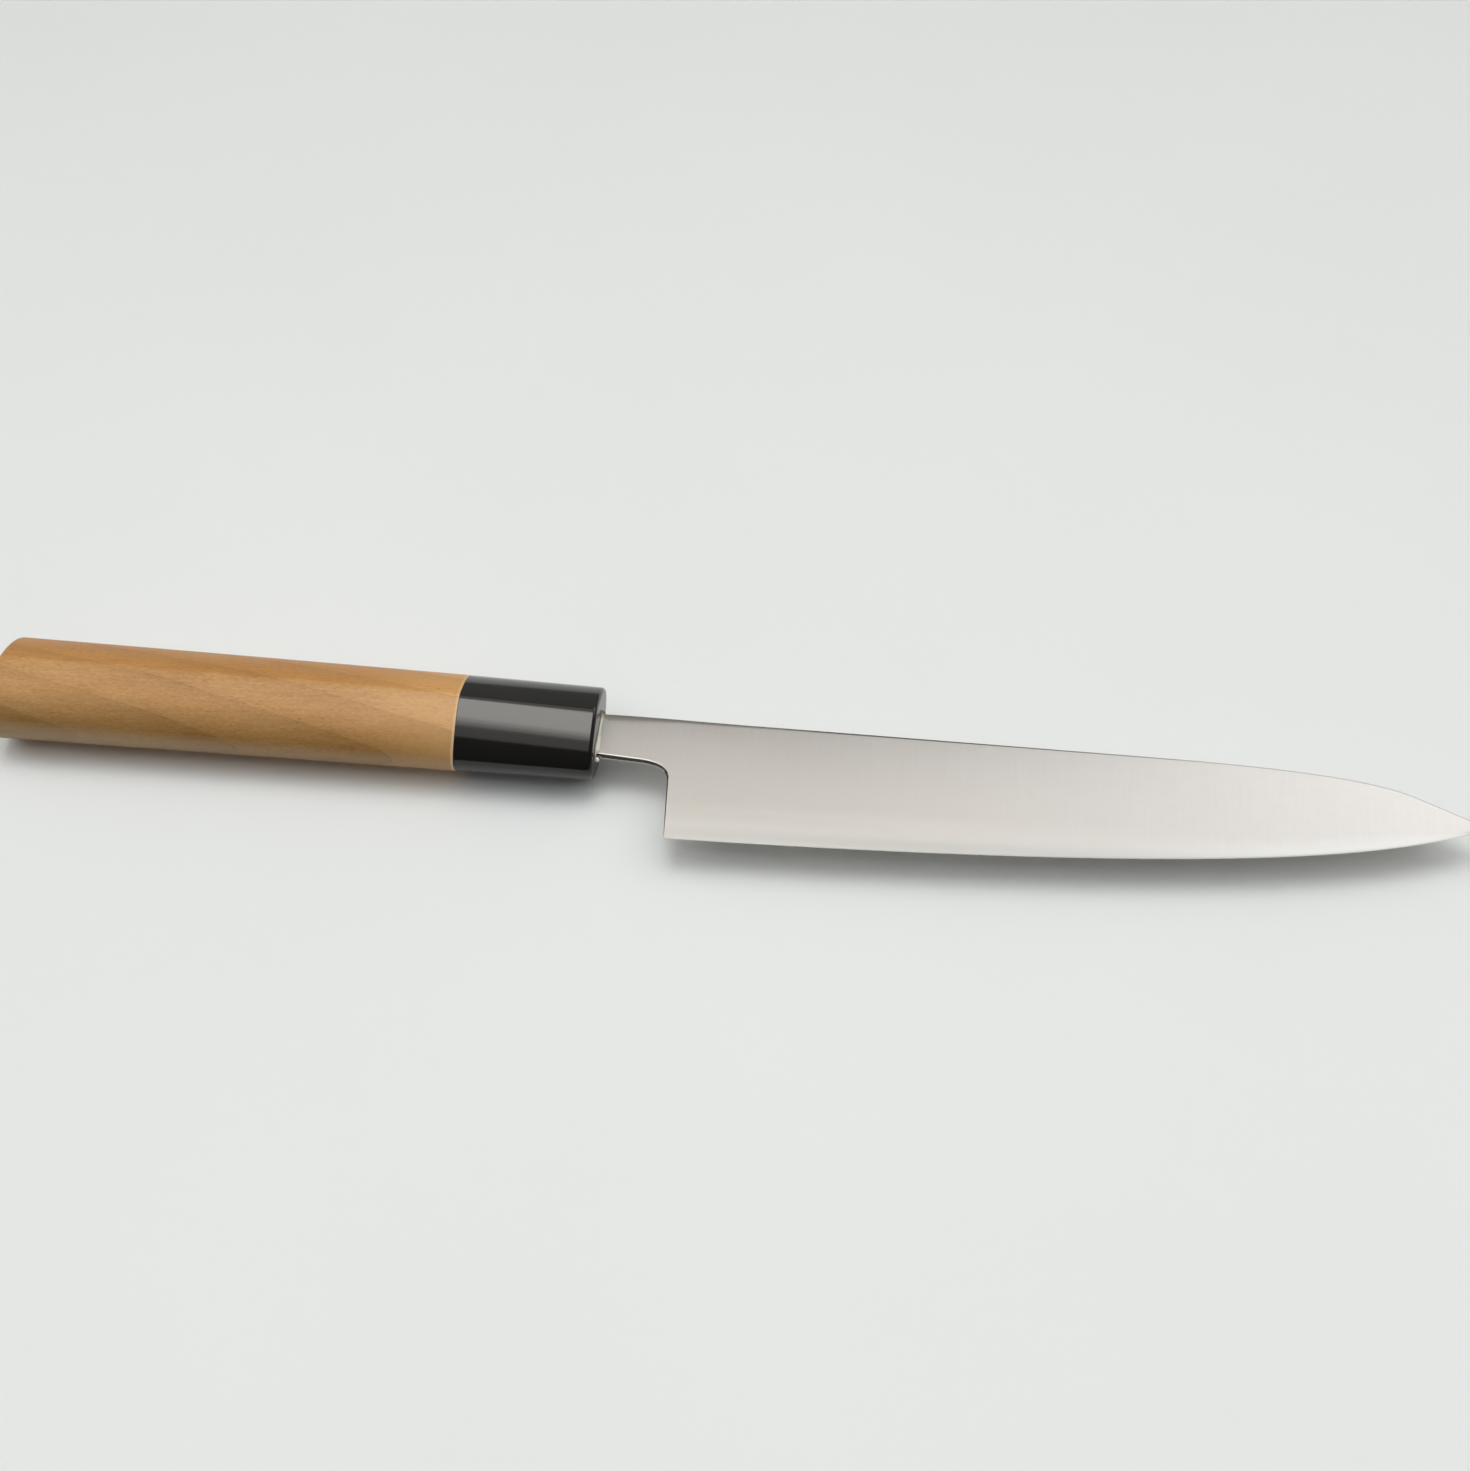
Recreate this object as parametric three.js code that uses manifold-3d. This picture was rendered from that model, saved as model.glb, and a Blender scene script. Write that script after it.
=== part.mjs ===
// A petty knife in the Japanese style, lying on its left side: a thin ground blade whose stick tang is
// bedded in a wooden handle of chestnut section, behind a glossy black ferrule that is sealed where the
// neck enters it.
//
// Millimetres. x runs along the handle's axis to the tip, y to the spine and z to the knife's right side,
// which lies upwards. x = 0 is the ferrule's front face until the finished knife is set down.
import * as THREE from "three";
import { mergeVertices } from "three/addons/utils/BufferGeometryUtils.js";
import Module from "manifold-3d";

// Blade outline
const BLADE_LENGTH = 150; // heel to tip
const HEEL_HEIGHT = 28.35; // spine to edge at the heel
const SPINE_HEIGHT = 4.3; // spine above the handle's axis
const TIP_DROP = 10.8; // tip below the spine
const SPINE_CORNER = 22.9; // from the tip back to where the spine's two straight runs would meet
const SPINE_BEND_BEHIND = 35.8; // the spine starts to bend this far behind that corner
const SPINE_BEND_AHEAD = 10.75; // and runs straight again this far beyond it
const EDGE_FLAT = 114; // pull of the edge's long flat run, measured from the heel
const EDGE_FLAT_RISE = 2.45; // climb of that pull
const EDGE_SWEEP = 16.3; // pull of the upswept run, measured back from the tip
const EDGE_SWEEP_DROP = 6.5; // fall of that pull
const NECK_LENGTH = 15.25; // ferrule face to heel
const NECK_HEIGHT = 10; // at the ferrule face
const NECK_FLARE = 0.85; // how much deeper the neck has grown when it reaches the heel
const CHOIL_REACH = 5.6; // the rounded corner between neck and heel starts this far along the neck
const CHOIL_DROP = 3.7; // and ends this far down the heel
const HEEL_RAKE = 1; // the heel's corner stands this far ahead of the neck's end

// Blade grind, as whole thicknesses
const SPINE_THICKNESS = 1.5; // at the heel
const SHOULDER_THICKNESS = 0.55; // where the flat cheek ends above the heel
const TIP_THICKNESS = 0.3; // of the cheeks where they run out at the tip
const EDGE_THICKNESS = 0.1;
const BEVEL_WIDTH = 6.6; // rounded bevel at the heel; it narrows with the blade
const FINE_BEVEL_WIDTH = 0.5; // honed strip along the edge
const FINE_BEVEL_THICKNESS = 0.24;
const SPINE_EASE = 0.35; // height of the chamfer along the spine's corners
const SPINE_EASE_DEPTH = 0.15; // and how far it cuts into each side

// Tang, hidden in the handle
const TANG_ROOT_HEIGHT = 7.6;
const TANG_END_HEIGHT = 4.8;
const TANG_END_THICKNESS = 1.2;
const WOOD_BEHIND_TANG = 28; // solid handle left behind the mortise

// Handle and ferrule
const HANDLE_LENGTH = 114.7; // ferrule face to butt
const FERRULE_LENGTH = 26;
const FRONT_WIDTH = 21.1;
const JOINT_WIDTH = 21.65;
const BUTT_WIDTH = 23.2;
const FRONT_RIDGE = 6.95; // ridge above the axis
const JOINT_RIDGE = 7.95;
const BUTT_RIDGE = 8.65;
const RIDGE_SWELL = 0.25; // how far the ridge bows out half-way along the wood
const FRONT_BELLY = 7.6; // belly below the axis
const JOINT_BELLY = 8;
const BUTT_BELLY = 8.5;
const BROADEST_LEVEL = 0.08; // the section is widest this far above the axis
const FLANK_REACH = 0.76; // from the ridge each flank heads for this share of the half width
const FLANK_FALL = 0.287; // and this share of the way down to the broadest level
const FLANK_STAND = 0.212; // share of that height over which it stands nearly upright
const BELLY_FULLNESS = 0.452; // 0.55 would be half an ellipse, less is slimmer
const RIM_ROUND = 0.8; // ferrule's front rim
const BUTT_ROUND = 1.3;

// Joints between the pieces
const FERRULE_WALL = 8; // front wall that the tang passes through
const TENON_DIAMETER = 12.2;
const TENON_CHAMFER = 0.6;
const TENON_END_GAP = 0.4;
const GLUE_GAP = 0.15;
const SEAL_WIDTH = 0.7; // resin between the neck and the slot in the ferrule
const SEAL_DEPTH = 3;
const BEAD_OVERHANG = 0.3; // the bead covers this much of the ferrule's face
const BEAD_HEIGHT = 0.8;
const BEDDING_WIDTH = 0.9; // resin between the tang and the mortise
const BEDDING_END = 1.5;

// Smoothness
const CURVE_STEPS = 20;
const FLANK_STEPS = 10;
const BELLY_STEPS = 12;
const ROUND_STEPS = 4;
const WOOD_STEPS = 6;
const TENON_SIDES = 32;
const CORNER_STEPS = 4;
const GRIND_STEPS = 30;
const BEVEL_STEPS = 4;
const HALVINGS = 40; // of a search along a curve
const CUT_MARGIN = 2; // cutters run this far past what they cut

const wasm = await Module();
wasm.setup();

// Places that the pieces share
const heelX = NECK_LENGTH;
const tipX = heelX + BLADE_LENGTH;
const tipY = SPINE_HEIGHT - TIP_DROP;
const heelY = SPINE_HEIGHT - HEEL_HEIGHT;
const neckMiddle = SPINE_HEIGHT - NECK_HEIGHT / 2;
const buttX = -HANDLE_LENGTH;
const jointX = -FERRULE_LENGTH;
const wallX = -FERRULE_WALL;
const tenonX = wallX - TENON_END_GAP;
const mortiseX = buttX + WOOD_BEHIND_TANG;
const tangX = mortiseX + GLUE_GAP + BEDDING_END + GLUE_GAP;

const steel = new THREE.MeshStandardMaterial({ color: 0xc8c3bc, metalness: 1, roughness: 0.36 });
const blackPlastic = new THREE.MeshStandardMaterial({ color: 0x101011, metalness: 0, roughness: 0.14 });
const wood = new THREE.MeshStandardMaterial({ color: 0xb98d5b, metalness: 0, roughness: 0.55 });
const resin = new THREE.MeshStandardMaterial({ color: 0xb3a987, metalness: 0, roughness: 0.35 });

/** A closed mesh as a solid that can be cut and joined. */
function solid(geometry) {
  const bare = geometry.clone();
  bare.deleteAttribute("normal");
  bare.deleteAttribute("uv");
  const merged = mergeVertices(bare);
  return new wasm.Manifold(new wasm.Mesh({
    numProp: 3,
    vertProperties: new Float32Array(merged.attributes.position.array),
    triVerts: new Uint32Array(merged.index.array),
  }));
}

/** A cut or joined solid as a named mesh. */
function piece(name, shape, material) {
  const faces = shape.getMesh();
  const geometry = new THREE.BufferGeometry();
  geometry.setAttribute("position", new THREE.BufferAttribute(faces.vertProperties, faces.numProp));
  geometry.setIndex(new THREE.BufferAttribute(faces.triVerts, 1));
  geometry.computeVertexNormals();
  const mesh = new THREE.Mesh(geometry, material);
  mesh.name = name;
  return mesh;
}

/** Skins rings of equal count, listed from butt to tip, each anticlockwise as seen from the tip. */
function loft(rings) {
  const count = rings[0].length;
  const points = rings.flat();
  const faces = [];
  for (let ring = 0; ring < rings.length - 1; ring += 1) {
    for (let side = 0; side < count; side += 1) {
      const here = ring * count + side;
      const beside = ring * count + (side + 1) % count;
      faces.push(here, beside, beside + count, here, beside + count, here + count);
    }
  }
  const last = (rings.length - 1) * count;
  const centres = [rings[0], rings.at(-1)].map((ring) => {
    const middle = new THREE.Vector3();
    ring.forEach((point) => middle.addScaledVector(point, 1 / count));
    return points.push(middle) - 1;
  });
  for (let side = 0; side < count; side += 1) {
    const next = (side + 1) % count;
    faces.push(centres[0], next, side, centres[1], last + side, last + next);
  }
  const geometry = new THREE.BufferGeometry().setFromPoints(points);
  geometry.setIndex(faces);
  return geometry;
}

/** A flat loop of (y, z) points stood up at x. */
function ringAt(x, loop) {
  return loop.map((point) => new THREE.Vector3(x, point.x, point.y));
}

/** A rectangle with rounded corners as (y, z) points. */
function roundedLoop(height, thickness, radius, middle) {
  const corner = Math.min(radius, thickness / 2, height / 2);
  const sides = [[1, 1], [-1, 1], [-1, -1], [1, -1]];
  return sides.flatMap(([alongY, alongZ], quarter) => {
    const centreY = middle + alongY * (height / 2 - corner);
    const centreZ = alongZ * (thickness / 2 - corner);
    const start = quarter * Math.PI / 2;
    const arc = new THREE.EllipseCurve(centreY, centreZ, corner, corner, start, start + Math.PI / 2);
    return arc.getPoints(CORNER_STEPS);
  });
}

// The blade's blank, cut from sheet: tang, neck and blade in one outline
const tangSide = (side) => [
  new THREE.Vector2(wallX, side * TANG_ROOT_HEIGHT / 2),
  new THREE.Vector2(tangX + TANG_END_HEIGHT / 2, side * TANG_END_HEIGHT / 2),
];
const [rootTop, endTop] = tangSide(1);
const [rootBottom, endBottom] = tangSide(-1);
const neckTop = new THREE.Vector2(0, SPINE_HEIGHT);
const neckBottom = new THREE.Vector2(0, SPINE_HEIGHT - NECK_HEIGHT);
const tip = new THREE.Vector2(tipX, tipY);
const heel = new THREE.Vector2(heelX, heelY);
const choilCorner = new THREE.Vector2(heelX - HEEL_RAKE, neckBottom.y - NECK_FLARE);
const choilStart = towards(choilCorner, neckBottom, CHOIL_REACH);
const choilEnd = towards(choilCorner, heel, CHOIL_DROP);
const spineCorner = new THREE.Vector2(tipX - SPINE_CORNER, SPINE_HEIGHT);
const spineBend = new THREE.Vector2(spineCorner.x - SPINE_BEND_BEHIND, SPINE_HEIGHT);
const spineDrop = towards(spineCorner, tip, SPINE_BEND_AHEAD);

/** The point a given way from one point towards another. */
function towards(from, to, distance) {
  return from.clone().addScaledVector(to.clone().sub(from).normalize(), distance);
}

const spine = new THREE.CurvePath();
spine.add(new THREE.LineCurve(neckTop, spineBend));
spine.add(new THREE.QuadraticBezierCurve(spineBend, spineCorner, spineDrop));
spine.add(new THREE.LineCurve(spineDrop, tip));

const edge = new THREE.CubicBezierCurve(
  tip,
  new THREE.Vector2(tipX - EDGE_SWEEP, tipY - EDGE_SWEEP_DROP),
  new THREE.Vector2(heelX + EDGE_FLAT, heelY + EDGE_FLAT_RISE),
  heel,
);

/** Where a curve that runs steadily along x passes a given x. */
function heightAt(curve, x) {
  const forwards = curve.getPoint(0).x < curve.getPoint(1).x;
  let low = 0;
  let high = 1;
  for (let halving = 0; halving < HALVINGS; halving += 1) {
    const middle = (low + high) / 2;
    const before = curve.getPoint(middle).x < x;
    if (before === forwards) low = middle;
    else high = middle;
  }
  return curve.getPoint(low).y;
}

/** Half the cheeks' thickness: flat planes on the blade, which turn parallel along the neck. */
function cheek(x, y) {
  const acrossFall = (SPINE_THICKNESS - SHOULDER_THICKNESS) / 2 / (HEEL_HEIGHT - BEVEL_WIDTH);
  const alongFall = ((SPINE_THICKNESS - TIP_THICKNESS) / 2 - acrossFall * TIP_DROP) / BLADE_LENGTH;
  const across = acrossFall * THREE.MathUtils.clamp(x / heelX, 0, 1) * (SPINE_HEIGHT - y);
  const thinning = (SPINE_THICKNESS - TANG_END_THICKNESS) / 2 * Math.min(x / -tangX, 0);
  return SPINE_THICKNESS / 2 - alongFall * Math.max(x - heelX, 0) - across + thinning;
}

/** One station of the grind, from the spine down the right side to the edge and back up the left. */
function grindRing(x) {
  const onBlade = THREE.MathUtils.clamp(x, heelX, tipX - FINE_BEVEL_WIDTH);
  const top = heightAt(spine, onBlade);
  const bottom = heightAt(edge, onBlade);
  const bevel = BEVEL_WIDTH * (top - bottom) / HEEL_HEIGHT;
  const fine = Math.min(FINE_BEVEL_WIDTH, bevel / 2);
  const shoulder = cheek(x, bottom + bevel);
  const fineHalf = Math.min(FINE_BEVEL_THICKNESS / 2, shoulder);
  const easeDepth = Math.min(SPINE_EASE_DEPTH, cheek(x, top) / 4);
  const rows = [
    [top + SPINE_EASE, cheek(x, top) - 2 * easeDepth],
    [top - SPINE_EASE, cheek(x, top - SPINE_EASE)],
  ];
  for (let step = BEVEL_STEPS; step >= 0; step -= 1) {
    const share = step / BEVEL_STEPS;
    const swell = share * (2 - share);
    rows.push([bottom + fine + (bevel - fine) * share, fineHalf + (shoulder - fineHalf) * swell]);
  }
  rows.push([bottom, EDGE_THICKNESS / 2], [bottom - CUT_MARGIN, EDGE_THICKNESS / 2]);
  const right = rows.map(([y, half]) => new THREE.Vector3(x, y, half));
  const left = rows.map(([y, half]) => new THREE.Vector3(x, y, -half)).reverse();
  return [...right, ...left];
}

function makeBlade() {
  const blank = new THREE.Shape();
  const shoulderTop = new THREE.Vector2(rootTop.x / 2, SPINE_HEIGHT);
  blank.add(new THREE.QuadraticBezierCurve(rootTop, shoulderTop, neckTop));
  spine.curves.forEach((run) => blank.add(run));
  blank.add(edge);
  blank.add(new THREE.LineCurve(heel, choilEnd));
  blank.add(new THREE.QuadraticBezierCurve(choilEnd, choilCorner, choilStart));
  blank.add(new THREE.LineCurve(choilStart, neckBottom));
  const shoulderBottom = new THREE.Vector2(rootBottom.x / 2, neckBottom.y);
  blank.add(new THREE.QuadraticBezierCurve(neckBottom, shoulderBottom, rootBottom));
  blank.add(new THREE.LineCurve(rootBottom, endBottom));
  blank.add(new THREE.EllipseCurve(
    endTop.x, 0, TANG_END_HEIGHT / 2, TANG_END_HEIGHT / 2, -Math.PI / 2, Math.PI / 2, true,
  ));
  blank.add(new THREE.LineCurve(endTop, rootTop));
  const sheet = new THREE.ExtrudeGeometry(blank, {
    depth: SPINE_THICKNESS * 2,
    bevelEnabled: false,
    curveSegments: CURVE_STEPS,
  });
  sheet.translate(0, 0, -SPINE_THICKNESS);

  const stations = [tangX - CUT_MARGIN, 0];
  for (let step = 0; step <= GRIND_STEPS; step += 1) {
    const share = step / GRIND_STEPS;
    stations.push(heelX + (BLADE_LENGTH - FINE_BEVEL_WIDTH) * share * (2 - share));
  }
  stations.push(tipX + CUT_MARGIN);
  return solid(sheet).intersect(solid(loft(stations.map(grindRing))));
}

/** The chestnut section: full flanks rising to a blunt ridge on the right side, over a round belly. */
function chestnut(halfWidth, ridge, belly) {
  const rise = ridge - BROADEST_LEVEL;
  const depth = BROADEST_LEVEL + belly;
  const broadest = new THREE.Vector2(halfWidth, BROADEST_LEVEL);
  const flank = new THREE.CubicBezierCurve(
    broadest,
    new THREE.Vector2(halfWidth, BROADEST_LEVEL + FLANK_STAND * rise),
    new THREE.Vector2(halfWidth * FLANK_REACH, ridge - FLANK_FALL * rise),
    new THREE.Vector2(0, ridge),
  );
  const under = new THREE.CubicBezierCurve(
    new THREE.Vector2(0, -belly),
    new THREE.Vector2(halfWidth * BELLY_FULLNESS, -belly),
    new THREE.Vector2(halfWidth, BROADEST_LEVEL - BELLY_FULLNESS * depth),
    broadest,
  );
  const half = [...under.getPoints(BELLY_STEPS), ...flank.getPoints(FLANK_STEPS).slice(1)];
  const mirrored = half.slice(1, -1).reverse().map((point) => new THREE.Vector2(-point.x, point.y));
  return [...half, ...mirrored];
}

/** The outer skin at x, drawn in by an inset. Ferrule and wood share it, so that they meet flush. */
function skin(x, inset = 0) {
  const onWood = x < jointX;
  const share = onWood ? (jointX - x) / (jointX - buttX) : -x / FERRULE_LENGTH;
  const near = onWood ? [JOINT_WIDTH, JOINT_RIDGE, JOINT_BELLY] : [FRONT_WIDTH, FRONT_RIDGE, FRONT_BELLY];
  const far = onWood ? [BUTT_WIDTH, BUTT_RIDGE, BUTT_BELLY] : [JOINT_WIDTH, JOINT_RIDGE, JOINT_BELLY];
  const [width, ridge, belly] = near.map((size, index) => THREE.MathUtils.lerp(size, far[index], share));
  const swell = onWood ? RIDGE_SWELL * 4 * share * (1 - share) : 0;
  return chestnut(width / 2 - inset, ridge + swell - inset, belly - inset);
}

/** Stations of an end that a quarter circle rounds over, from the full section out to the end face. */
function roundedEnd(endX, radius, outwards) {
  return Array.from({ length: ROUND_STEPS + 1 }, (_, step) => {
    const turn = step / ROUND_STEPS * Math.PI / 2;
    const x = endX - outwards * radius * (1 - Math.sin(turn));
    return ringAt(x, skin(x, radius * (1 - Math.cos(turn))));
  });
}

/** A round bar along x with a chamfer at its front end. */
function roundBar(rearX, frontX, radius, chamfer) {
  const profile = [
    new THREE.Vector2(0, rearX),
    new THREE.Vector2(radius, rearX),
    new THREE.Vector2(radius, frontX - chamfer),
    new THREE.Vector2(radius - chamfer, frontX),
    new THREE.Vector2(0, frontX),
  ];
  const bar = new THREE.LatheGeometry(profile, TENON_SIDES);
  bar.rotateZ(-Math.PI / 2);
  return solid(bar);
}

/** The tang's taper, grown all round, as a solid between two stations. */
function tangBlock(rearX, frontX, grown) {
  return solid(loft([rearX, frontX].map((x) => {
    const share = THREE.MathUtils.clamp((wallX - x) / (wallX - tangX), 0, 1);
    const height = THREE.MathUtils.lerp(TANG_ROOT_HEIGHT, TANG_END_HEIGHT, share);
    return ringAt(x, roundedLoop(height + 2 * grown, SPINE_THICKNESS + 2 * grown, grown, 0));
  })));
}

function makeFerrule() {
  const body = solid(loft([ringAt(jointX, skin(jointX)), ...roundedEnd(0, RIM_ROUND, 1)]));
  const socket = roundBar(jointX - CUT_MARGIN, wallX, TENON_DIAMETER / 2 + GLUE_GAP, TENON_CHAMFER);
  const slotLoop = roundedLoop(
    NECK_HEIGHT + 2 * SEAL_WIDTH, SPINE_THICKNESS + 2 * SEAL_WIDTH, SEAL_WIDTH, neckMiddle,
  );
  const slot = solid(loft([ringAt(wallX - CUT_MARGIN, slotLoop), ringAt(CUT_MARGIN, slotLoop)]));
  return body.subtract(socket).subtract(slot);
}

function makeHandle() {
  const rings = roundedEnd(buttX, BUTT_ROUND, -1).reverse();
  const straightX = buttX + BUTT_ROUND;
  for (let step = 1; step <= WOOD_STEPS; step += 1) {
    const x = THREE.MathUtils.lerp(straightX, jointX, step / WOOD_STEPS);
    rings.push(ringAt(x, skin(x)));
  }
  const tenon = roundBar(jointX - TENON_DIAMETER, tenonX, TENON_DIAMETER / 2, TENON_CHAMFER);
  const mortise = tangBlock(mortiseX, tenonX + CUT_MARGIN, GLUE_GAP + BEDDING_WIDTH + GLUE_GAP);
  return solid(loft(rings)).add(tenon).subtract(mortise);
}

function makeBedding() {
  const filling = tangBlock(mortiseX + GLUE_GAP, tenonX, GLUE_GAP + BEDDING_WIDTH);
  return filling.subtract(tangBlock(tangX - GLUE_GAP, tenonX + CUT_MARGIN, GLUE_GAP));
}

function makeSeal() {
  const loop = (grown) => {
    return roundedLoop(NECK_HEIGHT + 2 * grown, SPINE_THICKNESS + 2 * grown, grown, neckMiddle);
  };
  const plug = loop(SEAL_WIDTH - GLUE_GAP);
  const stations = [ringAt(-SEAL_DEPTH, plug), ringAt(0, plug)];
  const beadFoot = SEAL_WIDTH + BEAD_OVERHANG;
  for (let step = 0; step <= ROUND_STEPS; step += 1) {
    const turn = step / ROUND_STEPS * Math.PI / 2;
    const width = THREE.MathUtils.lerp(beadFoot, SEAL_WIDTH / 2, 1 - Math.cos(turn));
    stations.push(ringAt(BEAD_HEIGHT * Math.sin(turn), loop(width)));
  }
  const passage = loop(GLUE_GAP);
  const neckHole = solid(loft([ringAt(-SEAL_DEPTH - CUT_MARGIN, passage), ringAt(CUT_MARGIN, passage)]));
  return solid(loft(stations)).subtract(neckHole);
}

const knife = new THREE.Group();
knife.add(
  piece("blade", makeBlade(), steel),
  piece("ferrule", makeFerrule(), blackPlastic),
  piece("handle", makeHandle(), wood),
  piece("tang_bedding", makeBedding(), resin),
  piece("mouth_seal", makeSeal(), resin),
);

// The knife lies on its belly, centred over the origin
const extent = new THREE.Box3().setFromObject(knife);
const middle = extent.getCenter(new THREE.Vector3());
knife.position.set(-middle.x, -middle.y, -extent.min.z);

const part = new THREE.Group();
part.add(knife);

export default part;
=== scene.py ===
# %% [markdown]
# # A petty knife on a pale table
#
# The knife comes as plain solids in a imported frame: a blade with a hidden tang, a black ferrule, a wooden
# handle, and the resin that holds them together. This notebook gives each of them the smooth surface and
# the finish that the real thing has, then sets up the table, the light and the camera.
#
# Shapes are worked out in millimetres from the ferrule's mouth, and placed in metres in the solids' own
# frame, so nothing has to be fitted by hand.

# %% Open the frame
import math

import bpy
import numpy as np
from mathutils import Matrix, Vector


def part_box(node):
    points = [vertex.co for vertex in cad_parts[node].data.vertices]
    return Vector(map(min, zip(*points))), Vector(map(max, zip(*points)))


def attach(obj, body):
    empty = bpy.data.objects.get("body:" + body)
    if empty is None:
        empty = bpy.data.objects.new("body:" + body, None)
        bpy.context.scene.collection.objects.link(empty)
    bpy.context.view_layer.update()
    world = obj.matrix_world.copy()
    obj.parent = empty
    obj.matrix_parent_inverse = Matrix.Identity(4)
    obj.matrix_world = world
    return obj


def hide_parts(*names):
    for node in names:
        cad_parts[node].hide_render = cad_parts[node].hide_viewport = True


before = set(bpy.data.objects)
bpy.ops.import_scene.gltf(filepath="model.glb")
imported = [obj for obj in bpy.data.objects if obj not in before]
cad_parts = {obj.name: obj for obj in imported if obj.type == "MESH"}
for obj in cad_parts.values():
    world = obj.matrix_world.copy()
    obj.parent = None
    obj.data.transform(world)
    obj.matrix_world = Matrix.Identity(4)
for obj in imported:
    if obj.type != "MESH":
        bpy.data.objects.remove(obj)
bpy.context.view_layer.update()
MM = 0.001
print("solids in the frame:", ", ".join(sorted(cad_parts)))

# %% [markdown]
# ## The knife's own axes
#
# A knife maker measures from the mouth of the ferrule: forwards to the tip, up to the spine, and out of the
# right side. We could type those distances in, but the solids already hold them, so we read the boxes and
# keep millimetres measured from the mouth. The handle is the same on both sides of its axis, so the middle
# of its box is the axis, and the blade's box has the blade's middle plane half-way up.

# %% Measure the solids from the mouth of the ferrule
ferrule_low, ferrule_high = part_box("ferrule")
handle_low, handle_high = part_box("handle")
blade_low, blade_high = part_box("blade")
mouth = Vector((
    ferrule_high.x,
    (handle_low.y + handle_high.y) / 2,
    (blade_low.z + blade_high.z) / 2,
))


def from_mouth(corner):
    """A corner of a box in millimetres from the mouth: (ahead, towards the spine, out of the right side)."""
    return np.array((corner - mouth) / MM)


butt_x, _, butt_belly = from_mouth(handle_low)
_, butt_half_width, butt_ridge = from_mouth(handle_high)
joint_x, _, joint_belly = from_mouth(ferrule_low)
_, joint_half_width, joint_ridge = from_mouth(ferrule_high)
tang_x, heel_y, _ = from_mouth(blade_low)
tip_x, spine_y, _ = from_mouth(blade_high)
steel_thickness = (blade_high.z - blade_low.z) / MM
print(f"handle {-butt_x:.1f} mm, ferrule {-joint_x:.1f} mm, tip {tip_x:.1f} mm ahead of the mouth")

# %% [markdown]
# ## The camera
#
# The photo looks down at the knife from the edge's side. A camera can be placed by eye, but a few numbers
# pin it down: how steeply it looks down, how far the knife is turned against the picture, how far away it
# stands, and the point it looks at. The focal length is given in pixels of the picture, because that is how
# it is found from outlines, and a lens in millimetres follows from it.

# %% Place the camera
VIEW_ELEVATION = math.radians(49.13)
VIEW_TURN = math.radians(5.92)
VIEW_DISTANCE = 452.5
VIEW_AIM = np.array([25.62, 1.92, 0.0])
FOCAL_PIXELS = 2398.0
PICTURE_PIXELS = 1471.0
SENSOR = 36.0

view_right = np.array([math.cos(VIEW_TURN), math.sin(VIEW_TURN), 0.0])
view_level = np.array([-math.sin(VIEW_TURN), math.cos(VIEW_TURN), 0.0])
view_up = view_level * math.sin(VIEW_ELEVATION) + np.array([0.0, 0.0, math.cos(VIEW_ELEVATION)])
view_back = np.cross(view_right, view_up)
eye = VIEW_AIM + view_back * VIEW_DISTANCE

camera_data = bpy.data.cameras.new("camera")
camera_data.sensor_width = SENSOR
camera_data.lens = SENSOR * FOCAL_PIXELS / PICTURE_PIXELS
camera = bpy.data.objects.new("camera", camera_data)
turned = Matrix(np.stack([view_right, view_up, view_back], axis=1).tolist()).to_4x4()
camera.matrix_world = Matrix.Translation(mouth + Vector(eye) * MM) @ turned
bpy.context.scene.collection.objects.link(camera)
bpy.context.scene.camera = camera
bpy.context.scene.view_settings.view_transform = "Standard"
print(f"lens {camera_data.lens:.1f} mm, eye {eye.round().tolist()} mm from the mouth")

# %% [markdown]
# ## A small way of writing shaders
#
# A material is a graph of nodes. Linking them one by one is slow to write and slow to read, so one class
# wraps a socket and lets us write shader maths as ordinary Python: `1 - mask` adds a Math node. Every other
# kind of node comes from the one method `node`, which sets the node's own options first and then fills its
# sockets with numbers, colours or links.

# %% Wrap sockets and node trees


class Signal:
    """A socket that carries a value over the surface; operators on it add Math nodes."""

    def __init__(self, finish, socket):
        self.finish = finish
        self.socket = socket

    def math(self, operation, *others):
        """Adds a Math node that takes this signal and the others, signals or numbers."""
        inputs = dict(enumerate((self, *others)))
        return self.finish.node("ShaderNodeMath", {"operation": operation}, inputs)

    def __add__(self, other):
        return self.math("ADD", other)

    __radd__ = __add__

    def __mul__(self, other):
        return self.math("MULTIPLY", other)

    __rmul__ = __mul__

    def __sub__(self, other):
        return self.math("SUBTRACT", other)

    def __rsub__(self, other):
        return self * -1.0 + other


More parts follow.
